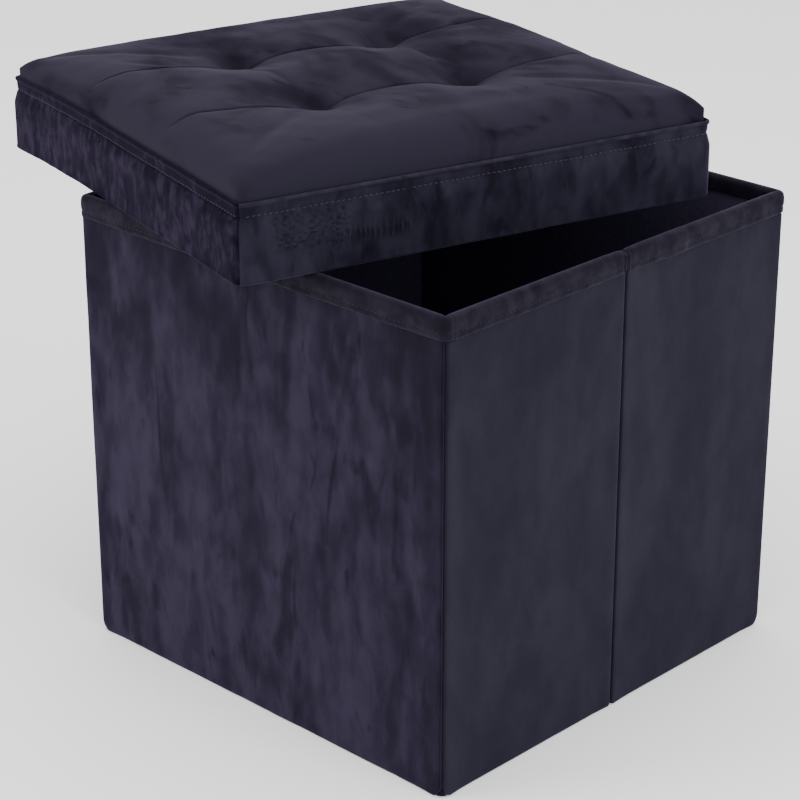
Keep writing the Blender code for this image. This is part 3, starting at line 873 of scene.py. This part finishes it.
def close_below(pad, height):
    """Turn the sheet into a closed body with a flat base at a height."""
    builder = bmesh.new()
    builder.from_mesh(pad.data)
    rim = [edge for edge in builder.edges if edge.is_boundary]
    swept = bmesh.ops.extrude_edge_only(builder, edges=rim)["geom"]
    for item in swept:
        if isinstance(item, bmesh.types.BMVert):
            item.co.z = height
    low = [item for item in swept if isinstance(item, bmesh.types.BMEdge) and item.is_boundary]
    bmesh.ops.contextual_create(builder, geom=low)
    bmesh.ops.recalc_face_normals(builder, faces=builder.faces)
    builder.to_mesh(pad.data)
    builder.free()


def evaluated(piece):
    """A piece with its modifiers worked out."""
    return piece.evaluated_get(bpy.context.evaluated_depsgraph_get())


def inflate(pad, held):
    """Blow the pad up as cloth with its held points fixed, then keep the result."""
    group = pad.vertex_groups.new(name="held")
    group.add(held, 1.0, "REPLACE")
    cloth = pad.modifiers.new("inflate", "CLOTH")
    for key, value in (("quality", 6), ("mass", 0.2), ("tension_stiffness", 18),
                       ("compression_stiffness", 12), ("shear_stiffness", 6),
                       ("bending_stiffness", 0.6), ("vertex_group_mass", "held"),
                       ("use_pressure", True), ("uniform_pressure_force", 2.5),
                       ("shrink_min", 0.0)):
        setattr(cloth.settings, key, value)
    cloth.settings.effector_weights.gravity = 0.0
    cloth.collision_settings.use_collision = False
    cloth.collision_settings.use_self_collision = False
    scene = bpy.context.scene
    scene.frame_start, scene.frame_end = 1, FRAMES
    cloth.point_cache.frame_start, cloth.point_cache.frame_end = 1, FRAMES
    for number in range(1, FRAMES + 1):
        scene.frame_set(number)
    ready = evaluated(pad)
    moved = [vertex.co.copy() for vertex in ready.data.vertices]
    pad.modifiers.remove(cloth)
    scene.frame_set(1)
    for vertex, target in zip(pad.data.vertices, moved):
        step = target - vertex.co
        vertex.co += step * min(1.0, PAD_CAP / max(step.length, 1e-9))


def subdivided(pad):
    """Apply one level of subdivision to a piece."""
    level = pad.modifiers.new("finer", "SUBSURF")
    level.levels = level.render_levels = 1
    mesh = bpy.data.meshes.new_from_object(evaluated(pad))
    pad.modifiers.remove(level)
    pad.data = mesh


def build_pad():
    """The tufted velvet top of the lid over its foam."""
    points, faces, held = pad_mesh()
    pad = make_object("lid_padded_top", points, faces, LID_TOP_VELVET)
    inflate(pad, held)
    subdivided(pad)
    close_below(pad, LID_BOARD_TOP + 0.0003)
    pad.data.shade_smooth()
    for vert in pad.data.vertices:
        x, y, z = vert.co
        if z < LID_SEAM - 0.002:
            vert.co = LID_MATRIX @ vert.co
            continue
        rise = tuft_folds(x, y) - crease_cut(x, y) + 0.0004 * ripple(x * 45, y * 45, 3.0)
        inside = smooth(LID_HALF - 0.001, LID_HALF - 0.012, max(abs(x), abs(y)))
        vert.co = sagged((x, y, z + rise * inside))
    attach(pad, "lid")
    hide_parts("lid_foam", "lid_cover")


def band_path(spacing, fine=0.0):
    """Places round the lid: (x, y, outward x, outward y), anticlockwise."""
    path = []
    straight = LID_HALF - LID_ROUND
    for turn in range(4):
        angle = math.pi / 2 * turn
        c, s = math.cos(angle), math.sin(angle)
        stops = spaced(-straight, straight, spacing)
        if turn == 0 and fine:
            stops = spaced(-straight, PATCH_END + 0.004, fine) + spaced(
                PATCH_END + 0.004, straight, spacing)[1:]
        for along in stops:
            path.append((LID_HALF * c - along * s, LID_HALF * s + along * c, c, s))
        for step in range(1, 8):
            sweep = angle + math.pi / 2 * step / 8
            out_x, out_y = math.cos(sweep), math.sin(sweep)
            path.append((straight * (c - s) + LID_ROUND * out_x,
                         straight * (s + c) + LID_ROUND * out_y, out_x, out_y))
    return path


STITCH_DOWN = 0.0092       # topstitching below the lid's seam
FLARE = 0.0034             # the band stands out this far below its topstitching
PATCH_LOW, PATCH_HIGH = 0.014, 0.046
PATCH_START, PATCH_SPLIT, PATCH_END = -0.166, -0.112, -0.059


def band_relief(x, y, up, out_x):
    """Slack, puckers, the short upright seam and the crushed patch of the lid's band."""
    slack = 0.0007 * ripple(x * 26, y * 26, up * 18)
    crushed = 0.00035 * ripple(x * 95, y * 95, up * 40)
    stitch = LID_SEAM - STITCH_DOWN
    below = smooth(stitch, stitch - 0.010, up) if up < stitch else 0.0
    pucker = 0.0004 * bump(up, stitch - 0.004, 0.005) * ripple(x * 240, y * 240, up * 30)
    relief = slack + crushed * below + pucker
    if out_x > 0.9:
        bend = 0.0022 * math.sin((up - 0.02) * 160)
        seam = bump(y, PATCH_END + bend, 0.0009) * smooth(0.010, 0.016, up)
        relief += 0.0008 * seam * smooth(LID_SEAM - 0.006, LID_SEAM - 0.010, up)
        crinkled = smooth(PATCH_START - 0.01, PATCH_START + 0.01, y) * smooth(
            PATCH_SPLIT + 0.008, PATCH_SPLIT - 0.006, y)
        crinkled *= smooth(PATCH_LOW - 0.004, PATCH_LOW + 0.008, up) * smooth(
            PATCH_HIGH + 0.004, PATCH_HIGH - 0.006, up)
        relief += 0.0031 * crinkled * ripple(y * 300 + up * 160, up * 560 - y * 90, 9.0)
        combed = smooth(PATCH_SPLIT - 0.014, PATCH_SPLIT, y) * smooth(
            PATCH_END, PATCH_END - 0.006, y)
        tooth = math.sin(math.tau * (y / 0.0040 + 0.8 * ripple(y * 60, 3.0, 0.0)) - up * 90)
        relief += 0.0021 * combed * bump(up, 0.022, 0.0055) * max(0.0, tooth)
    return relief


def band_section():
    """The band's closed section as (outward, up): a stiff skirt under a soft top fold."""
    thick, seam, stitch = SLAB, LID_SEAM, LID_SEAM - STITCH_DOWN
    section = [(-thick, 0.0008), (-thick + 0.0008, 0.0), (-0.0012, 0.0), (-0.0004, 0.0002)]
    section += [(0.0002, 0.0008), (0.0003, 0.0016), (0.0, 0.0026)]
    section += [(0.0, up) for up in spaced(0.0045, stitch - 0.0016, 0.0013)]
    section += [(-0.0002, stitch - 0.0008), (-0.0007, stitch), (-0.0001, stitch + 0.0009)]
    section += [(0.0003, stitch + 0.0024), (0.0004, stitch + 0.0045), (0.0004, seam - 0.0028)]
    section += [(0.0013, seam - 0.0018), (0.0017, seam - 0.0008), (0.0013, seam + 0.0002)]
    section += [(0.0003, seam + 0.0006), (-0.0008, seam + 0.0002), (-0.0013, seam - 0.0012)]
    section += [(-0.0013, LID_BOARD_LOW - 0.0002), (-thick, LID_BOARD_LOW - 0.0006)]
    return section


def build_band():
    """The lid's side band, with its seam ridge, topstitch groove and hem."""
    section = band_section()
    piped = [i for i, (outward, up) in enumerate(section)
             if up > LID_SEAM - 0.0020 and outward > -0.0010]
    rings = []
    for x, y, out_x, out_y in band_path(0.0026, fine=0.0009):
        ring = []
        corner = 1.0 - abs(abs(out_x) - abs(out_y))
        for outward, up in section:
            moved = outward
            if outward > -0.001:
                ridge = smooth(LID_SEAM - STITCH_DOWN, LID_SEAM - 0.004, up)
                moved += band_relief(x, y, up, out_x)
                moved += FLARE * smooth(LID_SEAM - 0.004, LID_SEAM - 0.020, up)
                moved += 0.0008 * ridge * corner
                moved += 0.0003 * ridge * ripple(x * 130, y * 130, 7.0)
            ring.append(sagged((x + out_x * moved, y + out_y * moved, up)))
        rings.append(ring)
    band = make_object("lid_side_band", *loft(rings, closed=True), LID_LEFT_VELVET, sharp=60)
    band.data.materials.append(LID_RIGHT_VELVET)
    band.data.materials.append(PIPE_PAINTED_HIGHLIGHT_VELVET)
    unturned = LID_MATRIX.inverted()
    # Painted light and shade: the band's +X and -X sides take the copy of the velvet coloured for
    # the light on them, and the piping ridge there a lighter copy, a painted highlight.
    for face in band.data.polygons:
        place = unturned @ face.center
        face.material_index = 1 if abs(place.x) > abs(place.y) else 0
        if face.index % len(section) in piped and face.material_index == 1:
            face.material_index = 2
    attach(band, "lid")
    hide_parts("lid_skirt_front", "lid_skirt_back", "lid_skirt_left",
                "lid_skirt_right", "lid_piping")


def band_stitches():
    """Topstitching round the lid's band."""
    places = []
    turned = LID_MATRIX.to_3x3()
    for x, y, out_x, out_y in band_path(STITCH_PITCH):
        if abs(abs(out_x) - abs(out_y)) < 0.9:
            continue
        up = LID_SEAM - STITCH_DOWN + 0.0004 * ripple(x * 60, y * 60, 2.0)
        outward = 0.0007 * ripple(x * 26, y * 26, up * 18) - 0.0005
        outward += FLARE * smooth(LID_SEAM - 0.004, LID_SEAM - 0.020, up)
        point = sagged((x + out_x * outward, y + out_y * outward, up))
        along = turned @ Vector((-out_y, out_x, 0.0))
        places.append((point, along, turned @ Vector((out_x, out_y, 0.0))))
    stitch_row("lid_topstitching", places, "lid")


def tuft_ties():
    """Stitches in the tufts, and under the lid the washers that hold them."""
    turned = LID_MATRIX.to_3x3()
    for number, (x, y) in enumerate(TUFTS, start=1):
        height = LID_SEAM - 0.0008 + dome(x, y) - tufted(x, y) + 0.0001
        centre = LID_MATRIX @ Vector((x, y, height))
        places = [(centre + turned @ Vector((0.0, shift, 0.0)), turned @ Vector((1, 0, 0)),
                   Vector((0, 0, 1))) for shift in (-0.0006, 0.0004)]
        stitches = stitch_row("tuft_stitches_%d" % number, places, "lid", 0.0034, 0.00035,
                              RIM_THREAD)
        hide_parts("tuft_tie_%d" % number)
        rings = []
        for radius, up in ((0.0006, 0.0013), (0.0078, 0.0012), (0.0088, 0.0009), (0.0090, 0.0004),
                           (0.0084, 0.0), (0.0050, 0.0001), (0.0030, 0.0004), (0.0006, 0.0005)):
            rings.append([LID_MATRIX @ Vector((x + radius * math.cos(angle),
                                               y + radius * math.sin(angle),
                                               LID_WASHER_LOW + up))
                          for angle in (math.tau * i / 28 for i in range(28))])
        washer = make_object("tuft_washer_%d" % number, *loft(rings), WASHER, sharp=50)
        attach(washer, "lid")


def build_lid():
    """The padded lid."""
    build_pad()
    build_band()
    band_stitches()
    tuft_ties()


# ---- Carried-over pieces ----
def dress_cad():
    """Materials for the CAD pieces that stay."""
    looks = {"lining": LINING, "panel_board": BOARD}
    for row in frame["record"]["subparts"]:
        if row["material_slot"] in looks:
            materials = frame["nodes"][row["node"]].data.materials
            materials.clear()
            materials.append(looks[row["material_slot"]])


# ---- Stage, light and camera ----
def build_stage():
    """A plain pale floor."""
    reach = 9.0
    mesh = bpy.data.meshes.new("stage_floor")
    mesh.from_pydata([(-reach, -reach, 0), (reach, -reach, 0), (reach, reach, 0),
                      (-reach, reach, 0)], [], [(0, 1, 2, 3)])
    mesh.materials.append(stage_material())
    floor = linked("stage_floor", mesh)


def soft_light(name, place, target, size, power, colour):
    """A square area light that faces a target."""
    data = bpy.data.lights.new(name, "AREA")
    data.shape, data.size, data.energy, data.color = "SQUARE", size, power, colour
    lamp = linked(name, data)
    lamp.location = place
    lamp.rotation_euler = (Vector(target) - Vector(place)).to_track_quat("-Z", "Y").to_euler()


def build_light():
    """Plain, soft studio light: a bright surround, one soft box above and two beside."""
    world = bpy.data.worlds.new("studio")
    world.use_nodes = True
    background = world.node_tree.nodes["Background"]
    background.inputs["Color"].default_value = (1.0, 1.0, 1.0, 1.0)
    background.inputs["Strength"].default_value = 1.5
    bpy.context.scene.world = world
    middle = (0.0, 0.0, 0.2)
    soft_light("top_box", (0.1, 0.2, 2.2), middle, 1.8, 16, (1.0, 0.99, 0.98))
    soft_light("left_box", (-1.4, -2.0, 1.3), middle, 1.4, 45, (1.0, 0.95, 1.0))
    soft_light("right_box", (2.3, -0.2, 1.3), middle, 1.4, 38, (0.93, 0.97, 1.0))


def build_camera():
    """A long lens, above the near corner."""
    azimuth, elevation, distance = math.radians(43.95), math.radians(22.88), 1.928
    back = Vector((math.sin(azimuth) * math.cos(elevation),
                   -math.cos(azimuth) * math.cos(elevation), math.sin(elevation)))
    right = Vector((math.cos(azimuth), math.sin(azimuth), 0.0))
    up = back.cross(right)
    data = bpy.data.cameras.new("camera")
    data.lens, data.sensor_width = 114.03, 36.0
    camera = linked("camera", data)
    camera.location = Vector((0.0, 0.0, 0.1627)) + back * distance - right * 0.0243 + up * 0.0270
    camera.rotation_mode = "QUATERNION"
    camera.rotation_quaternion = (-back).to_track_quat("-Z", "Y")
    bpy.context.scene.camera = camera


build_camera()
build_stage()
build_light()
dress_cad()
build_walls()
build_strips()
build_rim()
build_lid()
